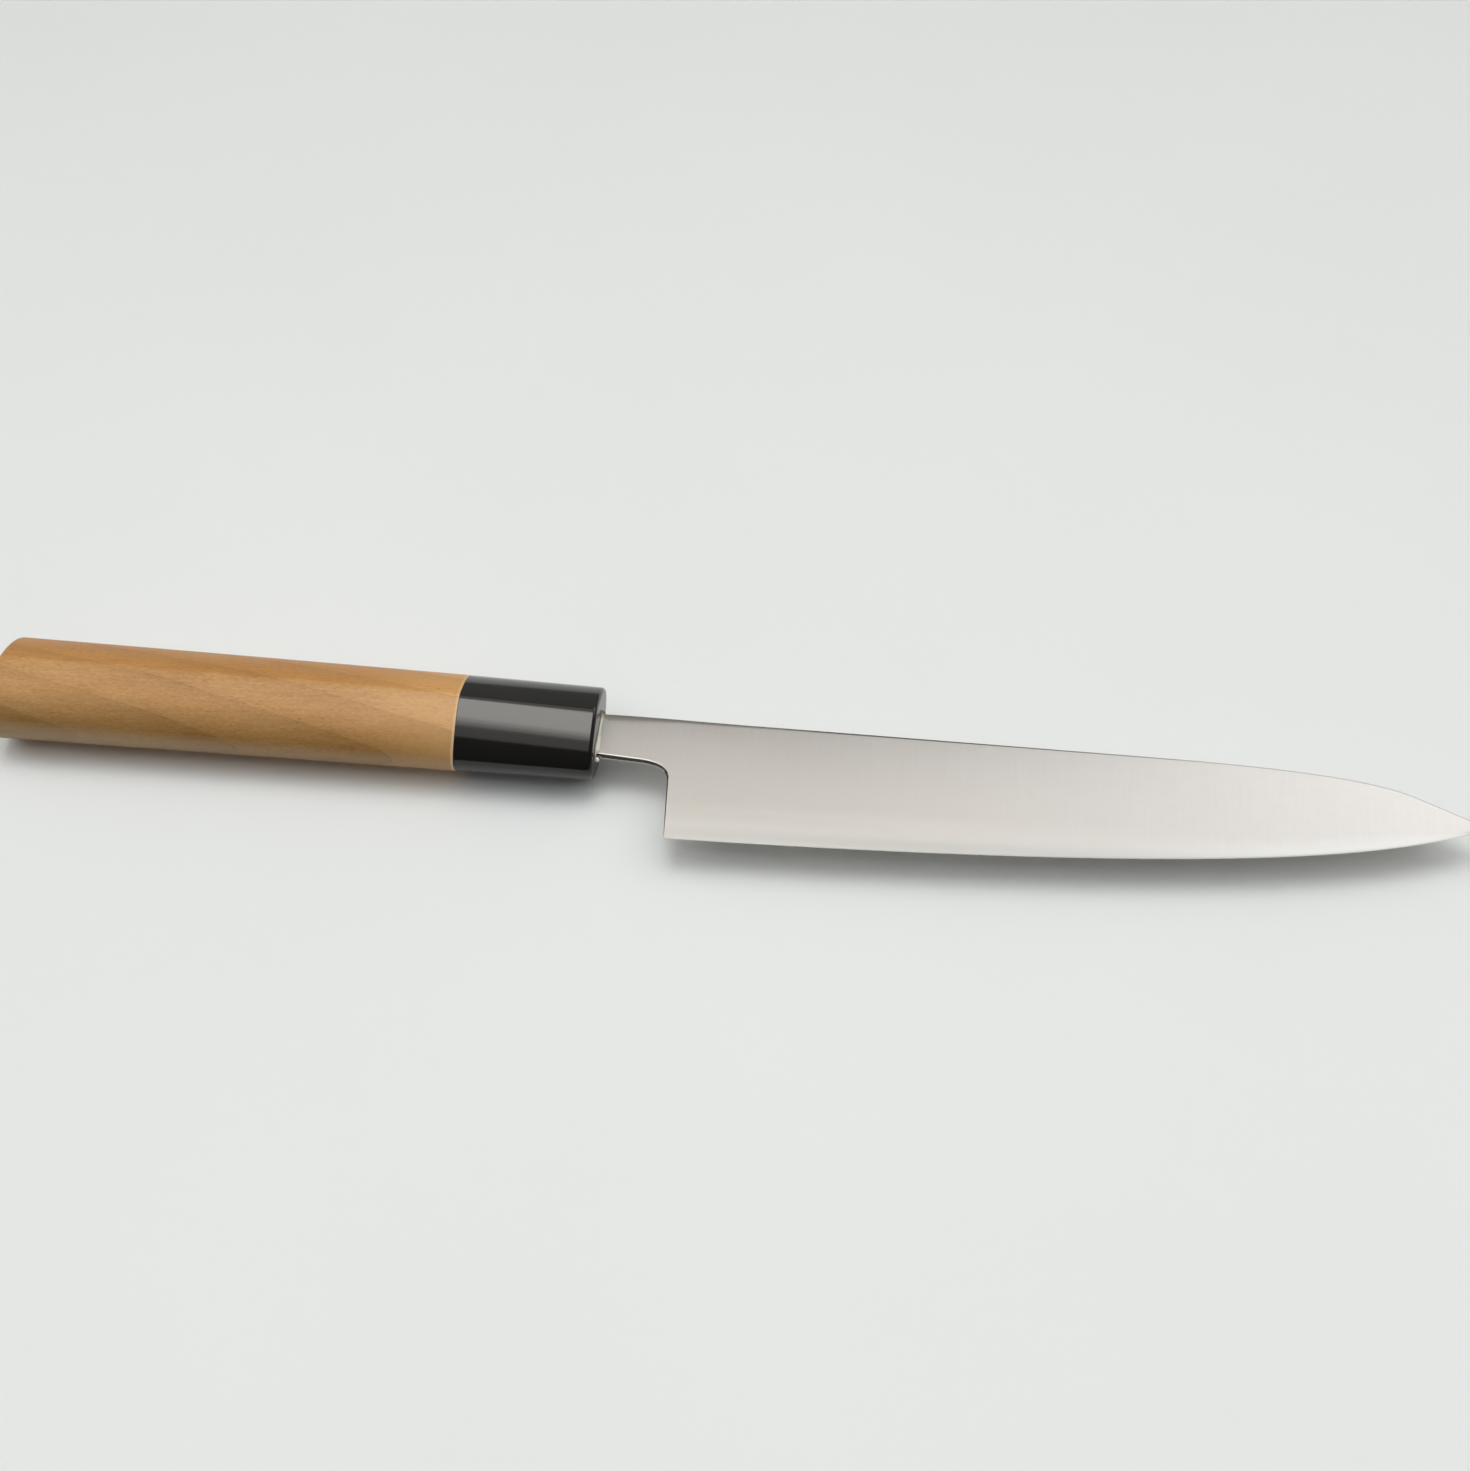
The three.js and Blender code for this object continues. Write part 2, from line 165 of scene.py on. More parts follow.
class Finish:
    """A material with one Principled shader, built up by adding nodes to it."""

    def __init__(self, name, **constants):
        self.material = bpy.data.materials.new(name)
        self.material.use_nodes = True
        self.tree = self.material.node_tree
        self.shader = self.tree.nodes["Principled BSDF"]
        for socket, value in constants.items():
            self.shader.inputs[socket.replace("_", " ")].default_value = value

    def node(self, kind, settings=None, inputs=None, output=0):
        """Adds a node: options first, a ramp's stops among them, then the values or links of its sockets."""
        made = self.tree.nodes.new(kind)
        for option, value in (settings or {}).items():
            if option == "stops":
                ramp = made.color_ramp.elements
                while len(ramp) < len(value):
                    ramp.new(0.5)
                for stop, (place, colour) in zip(ramp, value):
                    stop.position, stop.color = place, colour
            else:
                setattr(made, option, value)
        for key, value in (inputs or {}).items():
            self.feed(made.inputs[key], value)
        return Signal(self, made.outputs[output])

    def feed(self, socket, value):
        """Links a signal to a socket, or sets the socket to a plain value."""
        if isinstance(value, Signal):
            self.tree.links.new(value.socket, socket)
        else:
            socket.default_value = value

    def shade(self, **inputs):
        """Feeds the Principled shader's own sockets."""
        for socket, value in inputs.items():
            self.feed(self.shader.inputs[socket.replace("_", " ")], value)

    def place(self, turn=(0.0, 0.0, 0.0), scale=(1.0, 1.0, 1.0)):
        """Object coordinates, turned and then stretched, for a pattern to read."""
        here = self.node("ShaderNodeTexCoord", output="Object")
        turned = self.node("ShaderNodeMapping", None, {"Vector": here, "Rotation": turn})
        return self.node("ShaderNodeMapping", None, {"Vector": turned, "Scale": scale})

    def coordinate(self, axis):
        """How far a point is from the mouth along one axis, in millimetres."""
        here = self.node("ShaderNodeTexCoord", output="Object")
        there = self.node("ShaderNodeSeparateXYZ", None, {"Vector": here}, axis)
        return (there - getattr(mouth, axis.lower())) * (1.0 / MM)

    def noise(self, place, scale, detail, roughness):
        """A cloud of numbers round one half."""
        inputs = {"Vector": place, "Scale": scale, "Detail": detail, "Roughness": roughness}
        return self.node("ShaderNodeTexNoise", None, inputs, "Fac")

    def between(self, value, low, high):
        """0 where a value is at or under low, 1 at or over high, straight in between."""
        inputs = {"Value": value, "From Min": low, "From Max": high}
        return self.node("ShaderNodeMapRange", None, inputs)

    def mix(self, factor, first, second, blend="MIX"):
        """A colour part of the way from the first colour to the second."""
        settings = {"data_type": "RGBA", "blend_type": blend}
        return self.node("ShaderNodeMix", settings, {0: factor, 6: first, 7: second}, 2)

    def attribute(self, name):
        """A number that the mesh carries on its points."""
        return self.node("ShaderNodeAttribute", {"attribute_name": name}, None, "Fac")

    def bump(self, height, distance, strength):
        """Turns a height into a tilt of the surface; the distance is in metres."""
        inputs = {"Height": height, "Distance": distance, "Strength": strength}
        return self.node("ShaderNodeBump", None, inputs, "Normal")


def srgb(red, green, blue):
    """A colour as a picture shows it, 0 to 255, as the linear colour that light mixes in."""
    share = np.array([red, green, blue]) / 255.0
    linear = np.where(share <= 0.04045, share / 12.92, ((share + 0.055) / 1.055) ** 2.4)
    return (*linear.tolist(), 1.0)


print("ready to mix materials")

# %% [markdown]
# ## From a grid of points to a piece
#
# Each piece here is a surface worked out as a grid: rows run along the knife and each row is a closed ring.
# Blender's own primitives could be pushed into these shapes, but a formula keeps the ring of the wood and
# the ring of the ferrule exactly the same where they meet. One function makes a mesh from such a grid. It
# closes the ends with a point, or joins the last row to the first for a piece with a hole right through it.

# %% Make meshes from grids
SHARP = math.radians(38.0)


def piece(name, grid, material, node, poles=None, values=None):
    """A piece from a grid of rings, (rows, around, 3) in millimetres from the mouth.

    Neighbouring rows are joined by quads. With two poles the ends close in fans, and without any the last
    row joins the first. Faces are turned outwards, which the sign of the enclosed volume tells.
    """
    rows, around, _ = grid.shape
    points = grid.reshape(-1, 3)
    index = np.arange(rows * around).reshape(rows, around)
    start = index if poles is None else index[:-1]
    ahead = np.roll(index, -1, axis=0) if poles is None else index[1:]
    quads = np.stack([start, np.roll(start, -1, 1), np.roll(ahead, -1, 1), ahead], axis=-1).reshape(-1, 4)
    fans = np.empty((0, 3), int)
    if poles is not None:
        first, last = len(points), len(points) + 1
        points = np.concatenate([points, np.array(poles)])
        rear, front = index[0], index[-1]
        fans = np.concatenate([
            np.stack([np.full(around, first), np.roll(rear, -1), rear], axis=-1),
            np.stack([np.full(around, last), front, np.roll(front, -1)], axis=-1),
        ])
    triangles = np.concatenate([quads[:, [0, 1, 2]], quads[:, [0, 2, 3]], fans])
    a, b, c = points[triangles].transpose(1, 0, 2)
    if np.einsum("ij,ij->", a, np.cross(b, c)) < 0:
        quads, fans = quads[:, ::-1], fans[:, ::-1]
    mesh = bpy.data.meshes.new(name)
    mesh.from_pydata((points * MM + np.array(mouth)).tolist(), [], quads.tolist() + fans.tolist())
    mesh.polygons.foreach_set("use_smooth", np.ones(len(mesh.polygons), bool))
    mesh.set_sharp_from_angle(angle=SHARP)
    for key, numbers in (values or {}).items():
        layer = mesh.attributes.new(key, "FLOAT", "POINT")
        filled = np.zeros(len(points), np.float32)
        filled[:numbers.size] = numbers.ravel()
        layer.data.foreach_set("value", filled)
    mesh.materials.append(material)
    made = bpy.data.objects.new(name, mesh)
    bpy.context.scene.collection.objects.link(made)
    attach(made, "root")
    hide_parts(node)
    print(f"{name}: {len(points)} points, {len(quads) + len(fans)} faces")


def ease(value, start=0.0, stop=1.0):
    """An ease from 0 at the start to 1 at the stop: 3 s squared less 2 s cubed for the share s of the way,
    held at both ends."""
    share = np.clip((value - start) / (stop - start), 0.0, 1.0)
    return share * share * (3.0 - 2.0 * share)


def bezier(controls, steps):
    """A Bezier curve from the first control point to the last: the controls, weighted by the Bernstein
    polynomials."""
    t = np.linspace(0.0, 1.0, steps)[:, None]
    degree = len(controls) - 1
    weights = [math.comb(degree, k) * t ** k * (1.0 - t) ** (degree - k) for k in range(degree + 1)]
    return sum(weight * np.array(control) for weight, control in zip(weights, controls))


print(f"edges sharper than {math.degrees(SHARP):.0f} degrees stay crisp")

# %% [markdown]
# ## The handle's section
#
# The handle and the ferrule share a chestnut section: two full flanks that rise to a blunt ridge on the
# right side, for the fingers of a right hand, over a round belly. On the real handle one sander shapes
# both, so they are flush. Each side is two cubic Bezier curves that meet upright at the broadest level.
# Sandpaper never leaves a ridge sharp, so the ridge is blunted by adding a little distance, in quadrature,
# to the distance from the middle.

# %% Draw the chestnut section
FRONT_HALF_WIDTH = 10.55
FRONT_RIDGE = 6.95
FRONT_BELLY = -7.6
RIDGE_SWELL = 0.25
BROADEST_LEVEL = 0.08
FLANK_REACH = 0.76
FLANK_FALL = 0.287
FLANK_STAND = 0.212
BELLY_FULLNESS = 0.452
RIDGE_BLUNTING = 0.5
QUARTER_STEPS = 48


def chestnut(half_width, ridge, belly):
    """Rings of the section as (y, z), one for each entry of the sizes.

    From the ridge down the spine's side: a cubic Bezier curve that leaves the ridge at a slope and ends
    upright at the broadest level, then another that ends level under the belly; the other side mirrors
    them. Near the ridge the height falls by slope * (sqrt(y^2 + w^2) - |y|), rounding it over a width w.
    """
    half_width, ridge, belly = (np.asarray(size, float)[:, None] for size in (half_width, ridge, belly))
    t = np.linspace(0.0, 1.0, QUARTER_STEPS + 1)
    weights = (1.0 - t) ** 3, 3.0 * t * (1.0 - t) ** 2, 3.0 * t * t * (1.0 - t), t ** 3
    curve = lambda *controls: sum(weight * control for weight, control in zip(weights, controls))
    rise, depth = ridge - BROADEST_LEVEL, BROADEST_LEVEL - belly
    flank_y = curve(0.0, half_width * FLANK_REACH, half_width, half_width)
    stand = BROADEST_LEVEL + FLANK_STAND * rise
    flank_z = curve(ridge, ridge - FLANK_FALL * rise, stand, BROADEST_LEVEL)
    slope = FLANK_FALL * rise / (FLANK_REACH * half_width)
    flank_z = flank_z - slope * (np.hypot(flank_y, RIDGE_BLUNTING) - flank_y)
    belly_y = curve(half_width, half_width, half_width * BELLY_FULLNESS, 0.0)[:, 1:]
    belly_z = curve(BROADEST_LEVEL, BROADEST_LEVEL - BELLY_FULLNESS * depth, belly, belly)[:, 1:]
    half = np.stack([
        np.concatenate([flank_y, belly_y], axis=1),
        np.concatenate([flank_z, belly_z], axis=1),
    ], axis=-1)
    other = half[:, -2:0:-1] * np.array([-1.0, 1.0])
    return np.concatenate([half, other], axis=1)


def skin(x, inset=0.0):
    """The handle's outer surface at stations x, drawn in by an inset: sizes run straight between the
    ferrule's front, the joint and the butt, and the ridge bows out a little along the wood."""
    x = np.atleast_1d(np.asarray(x, float))
    stations = [butt_x, joint_x, 0.0]
    half_width = np.interp(x, stations, [butt_half_width, joint_half_width, FRONT_HALF_WIDTH]) - inset
    ridge = np.interp(x, stations, [butt_ridge, joint_ridge, FRONT_RIDGE]) - inset
    belly = np.interp(x, stations, [butt_belly, joint_belly, FRONT_BELLY]) + inset
    share = np.clip((joint_x - x) / (joint_x - butt_x), 0.0, 1.0)
    loop = chestnut(half_width, ridge + RIDGE_SWELL * 4.0 * share * (1.0 - share), belly)
    return np.concatenate([np.broadcast_to(x[:, None, None], (*loop.shape[:2], 1)), loop], axis=2)


def round_over(end, radius, outwards, steps=7):
    """Rings of an end that a quarter circle rounds over, from the full section out to the end face."""
    turn = np.linspace(0.0, math.pi / 2.0, steps)
    x = end - outwards * radius * (1.0 - np.sin(turn))
    return skin(x, radius * (1.0 - np.cos(turn)))


def ring(x, half_height, half_thickness, middle=0.0, power=2.0):
    """One hidden ring: a superellipse |y/a|^p + |z/b|^p = 1, stood up at x with as many points as a skin."""
    turn = np.linspace(0.0, 2.0 * math.pi, 4 * QUARTER_STEPS, endpoint=False)
    reach = lambda wave: np.sign(wave) * np.abs(wave) ** (2.0 / power)
    y = middle + half_height * reach(np.sin(turn))
    z = half_thickness * reach(np.cos(turn))
    return np.stack([np.full_like(y, x), y, z], axis=-1)[None]


print("points round the handle:", skin(0.0).shape[1])

# %% [markdown]
# ## The wood's finish
#
# The wood is a fine, close-grained timber, light brown, sanded and left bare. Four things make it read as
# wood
# and not as paint: slanting bands where the year rings run out through the surface, each fading up to a clear
# edge; fine streaks along the fibres; short dark pores; and a soft sheen. It is paler towards the ferrule.
# Shade is painted into the colour down the lower flank, more towards the butt, with a paler, greyer painted
# reflection of the table along the lowest strip of that flank; the facet on the spine's side of the ridge is
# painted darker and more orange for the sheen it lacks, and the wood's edge at the joint gets a painted
# highlight. An image of wood would be quicker, but a pattern in Object coordinates runs through the butt and
# both flanks as it does in a solid block. The colour is laid in layers over the bare wood, each with a share
# and a colour: the pale front, the year rings, the painted shade of the lower flank, the painted reflection
# along its lowest strip, the painted highlight at the joint, the painted shade on the spine's side of the
# ridge, and the pores.

# %% Mix the wood
RING_SPACING = 31.0
RING_START = 119.0
RING_SLANT = 4.9
RING_WANDER = 6.0
LATE_WOOD_START = 0.35
LATE_WOOD_POWER = 1.6
FIBRE_TURN = (0.0, 0.0, math.radians(-4.0))
CLOUD_TURN = (0.0, math.radians(6.0), math.radians(-14.0))
PORE_ENDS = (0.66, 0.74)
CLOUD_PART, STREAK_PART, FLECK_PART = 0.25, 0.3, 0.45


def drawn_out(factor):
    """A stretch that makes a pattern longer along the knife than across it, by a factor."""
    return (1.0, factor, factor)


wood = Finish("handle_wood", Specular_IOR_Level=0.5)
along, across = wood.coordinate("X"), wood.coordinate("Y")
clouds = wood.noise(wood.place(CLOUD_TURN, drawn_out(4.0)), scale=26.0, detail=2.0, roughness=0.45)
streaks = wood.noise(wood.place(FIBRE_TURN, drawn_out(9.0)), scale=170.0, detail=4.0, roughness=0.6)
flecks = wood.noise(wood.place(FIBRE_TURN, drawn_out(2.6)), scale=1100.0, detail=2.0, roughness=0.6)
specks = wood.noise(wood.place(FIBRE_TURN, drawn_out(7.0)), scale=520.0, detail=1.0, roughness=0.4)
pores = wood.between(specks, *PORE_ENDS)
ring_phase = (along + across * RING_SLANT + clouds * RING_WANDER + RING_START) * (1.0 / RING_SPACING)
late_wood = wood.between(ring_phase.math("FRACT"), LATE_WOOD_START, 1.0).math("POWER", LATE_WOOD_POWER)
print(f"a year ring runs out every {RING_SPACING:.0f} mm along the wood")

# %% Shade the wood
PALE_FRONT = (joint_x - 22.0, joint_x - 3.0)
# painted highlight on the wood's edge at the joint
JOINT_HIGHLIGHT = (joint_x - 0.6, joint_x - 0.2)
# painted shade: the lower flank is darkened in its colour
SHADED_FLANK = (-10.8, -5.3)
# painted reflection: the table's light along the lowest strip of the flank
REFLECTED_UNDERSIDE = (-11.4, -10.4)
# painted shade on the facet on the spine's side of the ridge
SHADED_FAR_SIDE = (-0.1, 0.6)
BARE_WOOD = ((0.24, srgb(160, 108, 52)), (0.5, srgb(190, 139, 78)), (0.76, srgb(210, 164, 106)))

rear = 1.0 - wood.between(along, butt_x, joint_x)
front = wood.between(along, *PALE_FRONT)
joint_highlight = wood.between(along, *JOINT_HIGHLIGHT)
shaded_flank = 1.0 - wood.between(across, *SHADED_FLANK)
under = 1.0 - wood.between(across, *REFLECTED_UNDERSIDE)
shaded_far_side = wood.between(across, *SHADED_FAR_SIDE)
grain = clouds * CLOUD_PART + streaks * STREAK_PART + flecks * FLECK_PART
tone = wood.node("ShaderNodeValToRGB", {"stops": BARE_WOOD}, {0: grain})
wood_layers = (
    (front * 0.42, srgb(232, 183, 121), "MIX"),
    (late_wood * (0.25 + shaded_flank * 0.1), srgb(184, 172, 150), "MULTIPLY"),
    # painted shade down the lower flank, stronger towards the butt
    (shaded_flank * (0.78 + rear * 0.2), srgb(178, 181, 174), "MULTIPLY"),
    # painted reflection of the table: a paler, greyer strip low on the flank
    (under * 0.3, srgb(188, 166, 134), "MIX"),
    # painted highlight on the wood's edge at the joint
    (joint_highlight * 0.5, srgb(236, 208, 170), "MIX"),
    # painted shade: the spine's side of the ridge, darker and more orange for the sheen it lacks
    (shaded_far_side, srgb(248, 240, 222), "MULTIPLY"),
    (pores * 0.3, srgb(118, 78, 42), "MIX"),
)
for share, colour, blend in wood_layers:
    tone = wood.mix(share, tone, colour, blend)
wood.shade(
    Base_Color=tone,
    Roughness=0.36 + streaks * 0.14,
    Normal=wood.bump(streaks * 0.6 + flecks * 0.3 - pores * 0.5, distance=0.00006, strength=0.5),
)
print("wood nodes:", len(wood.tree.nodes))

# %% [markdown]
# ## The wooden handle
#
# The handle is one block: the visible wood, a round tenon that plugs into the ferrule, and a mortise for
# the tang. A lathe-like sweep from the mortise's floor, out over the tenon and the shoulder, along the wood
# and round the butt gives all of it as one closed surface, so the mesh is a true solid.

# %% Build the handle
BUTT_ROUND = 1.3
JOINT_EASE = 0.1
TENON_RADIUS = 6.1
TENON_CHAMFER = 0.6
MORTISE_MARGIN = 0.15
MORTISE_TAPER = 1.4
MORTISE_POWER = 6.0
WOOD_STATIONS = 60

bedding_low, bedding_high = (from_mouth(corner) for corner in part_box("tang_bedding"))
tenon_x = handle_high.x / MM - mouth.x / MM
mortise_x = bedding_low[0] - MORTISE_MARGIN
mortise_half = bedding_high[1:] + MORTISE_MARGIN
wood_x = np.linspace(joint_x - JOINT_EASE, butt_x + BUTT_ROUND, WOOD_STATIONS)[:-1]
handle_rings = np.concatenate([
    ring(mortise_x, mortise_half[0] - MORTISE_TAPER, mortise_half[1], power=MORTISE_POWER),
    ring(tenon_x, *mortise_half, power=MORTISE_POWER),
    ring(tenon_x, TENON_RADIUS - TENON_CHAMFER, TENON_RADIUS - TENON_CHAMFER),
    ring(tenon_x - TENON_CHAMFER, TENON_RADIUS, TENON_RADIUS),
    ring(joint_x, TENON_RADIUS, TENON_RADIUS),
    skin(joint_x, JOINT_EASE),
    skin(wood_x),
    round_over(butt_x, BUTT_ROUND, -1.0),
])
piece(
    "handle_block", handle_rings, wood.material, "handle",
    poles=[(mortise_x, 0.0, 0.0), (butt_x, 0.0, 0.0)],
)

# %% [markdown]
# ## The ferrule
#
# The ferrule is black and polished, and nearly all that one sees of it is reflected light. So its finish is
# mostly its gloss: a dark base, a smooth clear surface, and the faint hazing and hairlines that polishing
# leaves. Too perfect a black would look like a hole, so the base keeps a little warmth.
#
# Its shape is the handle's skin again, eased where it meets the wood, with a flat front whose rim is rolled
# over; the face inside the rim is polished a little less. The neck's slot and the tenon's socket go right
# through it, so its last ring joins its first.

# %% Build the ferrule
RIM_ROUND = 0.8
RIM_STEPS = 15
FERRULE_WALL = 8.0
SLOT_MARGIN = 0.25
SLOT_POWER = 10.0
NECK_HEIGHT = 10.0
SOCKET_GAP = 0.15
FERRULE_STATIONS = 24
SAWN_FACE = (-0.08, -0.02)
WARM_GLOSS = (1.0, 0.98, 0.93, 1.0)
BLACK, HAZED_BLACK = srgb(14, 14, 13), srgb(24, 23, 22)

gloss = Finish("black_gloss", IOR=1.54, Specular_Tint=WARM_GLOSS)
haze = gloss.noise(gloss.place(), scale=60.0, detail=3.0, roughness=0.6)
hairlines = gloss.noise(gloss.place(scale=drawn_out(14.0)), scale=900.0, detail=2.0, roughness=0.5)
sawn_face = gloss.between(gloss.coordinate("X"), *SAWN_FACE)
gloss.shade(
    Base_Color=gloss.mix(haze, BLACK, HAZED_BLACK),
    Roughness=0.06 + haze * 0.06 + hairlines * 0.03 + sawn_face * 0.13,
    Normal=gloss.bump(hairlines, distance=0.000004, strength=0.25),
)

neck_middle = spine_y - NECK_HEIGHT / 2.0
slot_half = (NECK_HEIGHT / 2.0 + SLOT_MARGIN, steel_thickness / 2.0 + SLOT_MARGIN)
socket_radius = TENON_RADIUS + SOCKET_GAP
ferrule_x = np.linspace(joint_x + JOINT_EASE, -RIM_ROUND, FERRULE_STATIONS)[:-1]
ferrule_rings = np.concatenate([
    ring(joint_x, socket_radius, socket_radius),
    skin(joint_x, JOINT_EASE),
    skin(ferrule_x),
    round_over(0.0, RIM_ROUND, 1.0, RIM_STEPS),
    ring(0.0, *slot_half, neck_middle, SLOT_POWER),
    ring(-FERRULE_WALL, *slot_half, neck_middle, SLOT_POWER),
    ring(-FERRULE_WALL, socket_radius, socket_radius),
])
piece("black_ferrule", ferrule_rings, gloss.material, "ferrule")

# %% [markdown]
# ## The blade's outline
#
# The blade is ground from one sheet that also makes the neck and the tang. Its outline has few parts: a
# straight spine that bends down to the tip, an edge that is nearly flat and then sweeps up, a heel, and a
# rounded choil under the neck. What is not straight is a short Bezier curve. The lower line is written down
# first, from the tang to the tip; each of its points is paired with one above it, so that lines across the
# blade fan out round the heel without crossing. Over the neck the spine is drawn a hair high, because the
# rounding that follows takes most away there.

# %% Draw the blade's outline
NECK_LENGTH = 15.25
NECK_FLARE = 0.87
CHOIL_REACH = 5.6
CHOIL_DROP = 3.7
HEEL_RAKE = 1.0
TIP_DROP = 10.8
SPINE_CORNER = 22.9
SPINE_BEND_BEHIND = 35.8
SPINE_BEND_AHEAD = 10.75
EDGE_FLAT = (114.0, 2.45)
EDGE_SWEEP = (16.3, 6.5)
SPINE_STEPS, EDGE_STEPS = 80, 400


def towards(start, end, distance):
    """The point a given way from one point towards another."""
    start, end = np.array(start), np.array(end)
    return start + (end - start) * distance / np.linalg.norm(end - start)


heel = np.array([NECK_LENGTH, heel_y])
tip = np.array([tip_x, spine_y - TIP_DROP])
neck_low = np.array([0.0, spine_y - NECK_HEIGHT])
choil = np.array([NECK_LENGTH - HEEL_RAKE, neck_low[1] - NECK_FLARE])
choil_start, choil_end = towards(choil, neck_low, CHOIL_REACH), towards(choil, heel, CHOIL_DROP)
corner = np.array([tip_x - SPINE_CORNER, spine_y])
bend = corner - np.array([SPINE_BEND_BEHIND, 0.0])
spine_line = np.concatenate([
    [[tang_x, spine_y]], bezier([bend, corner, towards(corner, tip, SPINE_BEND_AHEAD)], SPINE_STEPS), [tip],
])
edge_line = bezier([heel, heel + np.array(EDGE_FLAT), tip - np.array(EDGE_SWEEP), tip], EDGE_STEPS)


def spine_at(x):
    """The spine's height at x, read off its curve."""
    return np.interp(x, spine_line[:, 0], spine_line[:, 1])


def edge_at(x):
    """The edge's height at x; behind the heel it stays at the heel's."""
    return np.interp(x, edge_line[:, 0], edge_line[:, 1])


print(f"the heel is {spine_y - heel_y:.1f} mm high and the tip {TIP_DROP} mm under the spine")

# %% Pair the lower line with the upper one
TANG_ROOT_HALF = 3.8
TANG_END_HALF = 2.4
TANG_TIP_TURN = 0.15
HEEL_FAN = 2.2
SPINE_LIFT = 0.28
LIFT_GAIN, LIFT_LOSS = (0.0, 2.0), (3.0, 29.0)
TANG_STEPS, SHOULDER_STEPS, NECK_STEPS, CHOIL_STEPS, HEEL_STEPS = 8, 9, 12, 18, 36
EDGE_STRIDE = 3
MIRRORED = np.array([1.0, -1.0])

tang_turn = np.linspace(TANG_TIP_TURN, math.pi / 2.0, TANG_STEPS)
tang_end = np.stack([
    tang_x + TANG_END_HALF * (1.0 - np.cos(tang_turn)), -TANG_END_HALF * np.sin(tang_turn),
], axis=1)
root = np.array([-FERRULE_WALL, -TANG_ROOT_HALF])
shoulder = bezier([root, [root[0] / 2.0, neck_low[1]], neck_low], SHOULDER_STEPS)
lower = np.concatenate([
    tang_end, np.linspace(tang_end[-1], root, TANG_STEPS)[1:-1], shoulder,
    np.linspace(neck_low, choil_start, NECK_STEPS)[1:-1],
    bezier([choil_start, choil, choil_end], CHOIL_STEPS),
    np.linspace(choil_end, heel, HEEL_STEPS)[1:-1], edge_line[:-2:EDGE_STRIDE],
])
upper_shoulder = bezier([root * MIRRORED, [root[0] / 2.0, spine_y], [0.0, spine_y]], SHOULDER_STEPS)
upper_tang = np.concatenate([tang_end * MIRRORED, [root * MIRRORED], upper_shoulder])
behind_heel = lower[:, 0] < heel[0]
fan = ease(lower[:, 0], choil_start[0], heel[0]) * (choil_end[1] - lower[:, 1]) / (choil_end[1] - heel_y)
to_tip = (tip_x - lower[:, 0]) / (tip_x - heel[0])
upper_x = lower[:, 0] + HEEL_FAN * np.where(behind_heel, np.clip(fan, -1.0, 1.0), to_tip)
upper_y = np.where(upper_x < 0.0, np.interp(upper_x, upper_tang[:, 0], upper_tang[:, 1]), spine_at(upper_x))
upper_y = upper_y + SPINE_LIFT * ease(upper_x, *LIFT_GAIN) * (1.0 - ease(upper_x, *LIFT_LOSS))
upper = np.stack([upper_x, upper_y], axis=1)
print(f"{len(lower)} lines across the blade")

# %% [markdown]
# ## The grind
#
# From spine to edge the steel thins in two flat cheeks, then in a convex bevel, and ends in a hair of honed
# edge. Half the thickness is therefore a function of the place on the blade, and both sides are that
# function and its negative.

# %% Grind the blade
SHOULDER_THICKNESS = 0.55
TIP_THICKNESS = 0.3
EDGE_THICKNESS = 0.1
BEVEL_WIDTH = 6.6
FINE_BEVEL_WIDTH = 0.5
FINE_BEVEL_THICKNESS = 0.18
TINY = 1e-6
heel_height = spine_y - heel_y


def cheek(x, y):
    """Half the thickness of the flat cheeks: it falls straight towards the edge and towards the tip."""
    across = (steel_thickness - SHOULDER_THICKNESS) / 2.0 / (heel_height - BEVEL_WIDTH)
    along = ((steel_thickness - TIP_THICKNESS) / 2.0 - across * TIP_DROP) / (tip_x - heel[0])
    fall = across * np.clip(x / heel[0], 0.0, 1.0)
    return steel_thickness / 2.0 - along * np.maximum(x - heel[0], 0.0) - fall * (spine_y - y)


def half_thickness(x, y):
    """Half the steel's thickness, and how far down the bevel a place is.

    Above the bevel it is the cheek's. Up the convex bevel it grows from the honed strip's to the cheek's by
    s(2 - s), for the share s of the way up. The honed strip runs straight down to the edge's land.
    """
    foot = edge_at(x)
    bevel = BEVEL_WIDTH * (spine_at(np.maximum(x, heel[0])) - foot) / heel_height
    fine = np.minimum(FINE_BEVEL_WIDTH, bevel / 2.0)
    crest = cheek(x, foot + bevel)
    fine_half = np.minimum(FINE_BEVEL_THICKNESS / 2.0, crest)
    share = np.clip((y - foot - fine) / np.maximum(bevel - fine, TINY), 0.0, 1.0)
    ground = fine_half + (crest - fine_half) * share * (2.0 - share)
    honed = np.clip((y - foot) / np.maximum(fine, TINY), 0.0, 1.0)
    ground = np.where(honed < 1.0, EDGE_THICKNESS / 2.0 + (fine_half - EDGE_THICKNESS / 2.0) * honed, ground)
    return np.where(y > foot + bevel, cheek(x, y), ground), (foot + bevel - y) / np.maximum(bevel, TINY)


print(f"steel {steel_thickness:.2f} mm at the heel, {SHOULDER_THICKNESS} mm above its bevel")

# %% [markdown]
# ## The lines down the blade
#
# The mesh needs its points where the shape turns: close together over the spine, down the bevel and at the
# lower corner, and sparse over the flat cheek. So each line from spine to edge is cut at distances that
# follow those widths. The spine is rounded by hand most of all near the mouth, and less towards the tip.
# Where the blade gets narrow, each width is held to a share of the line, so that they never overlap.

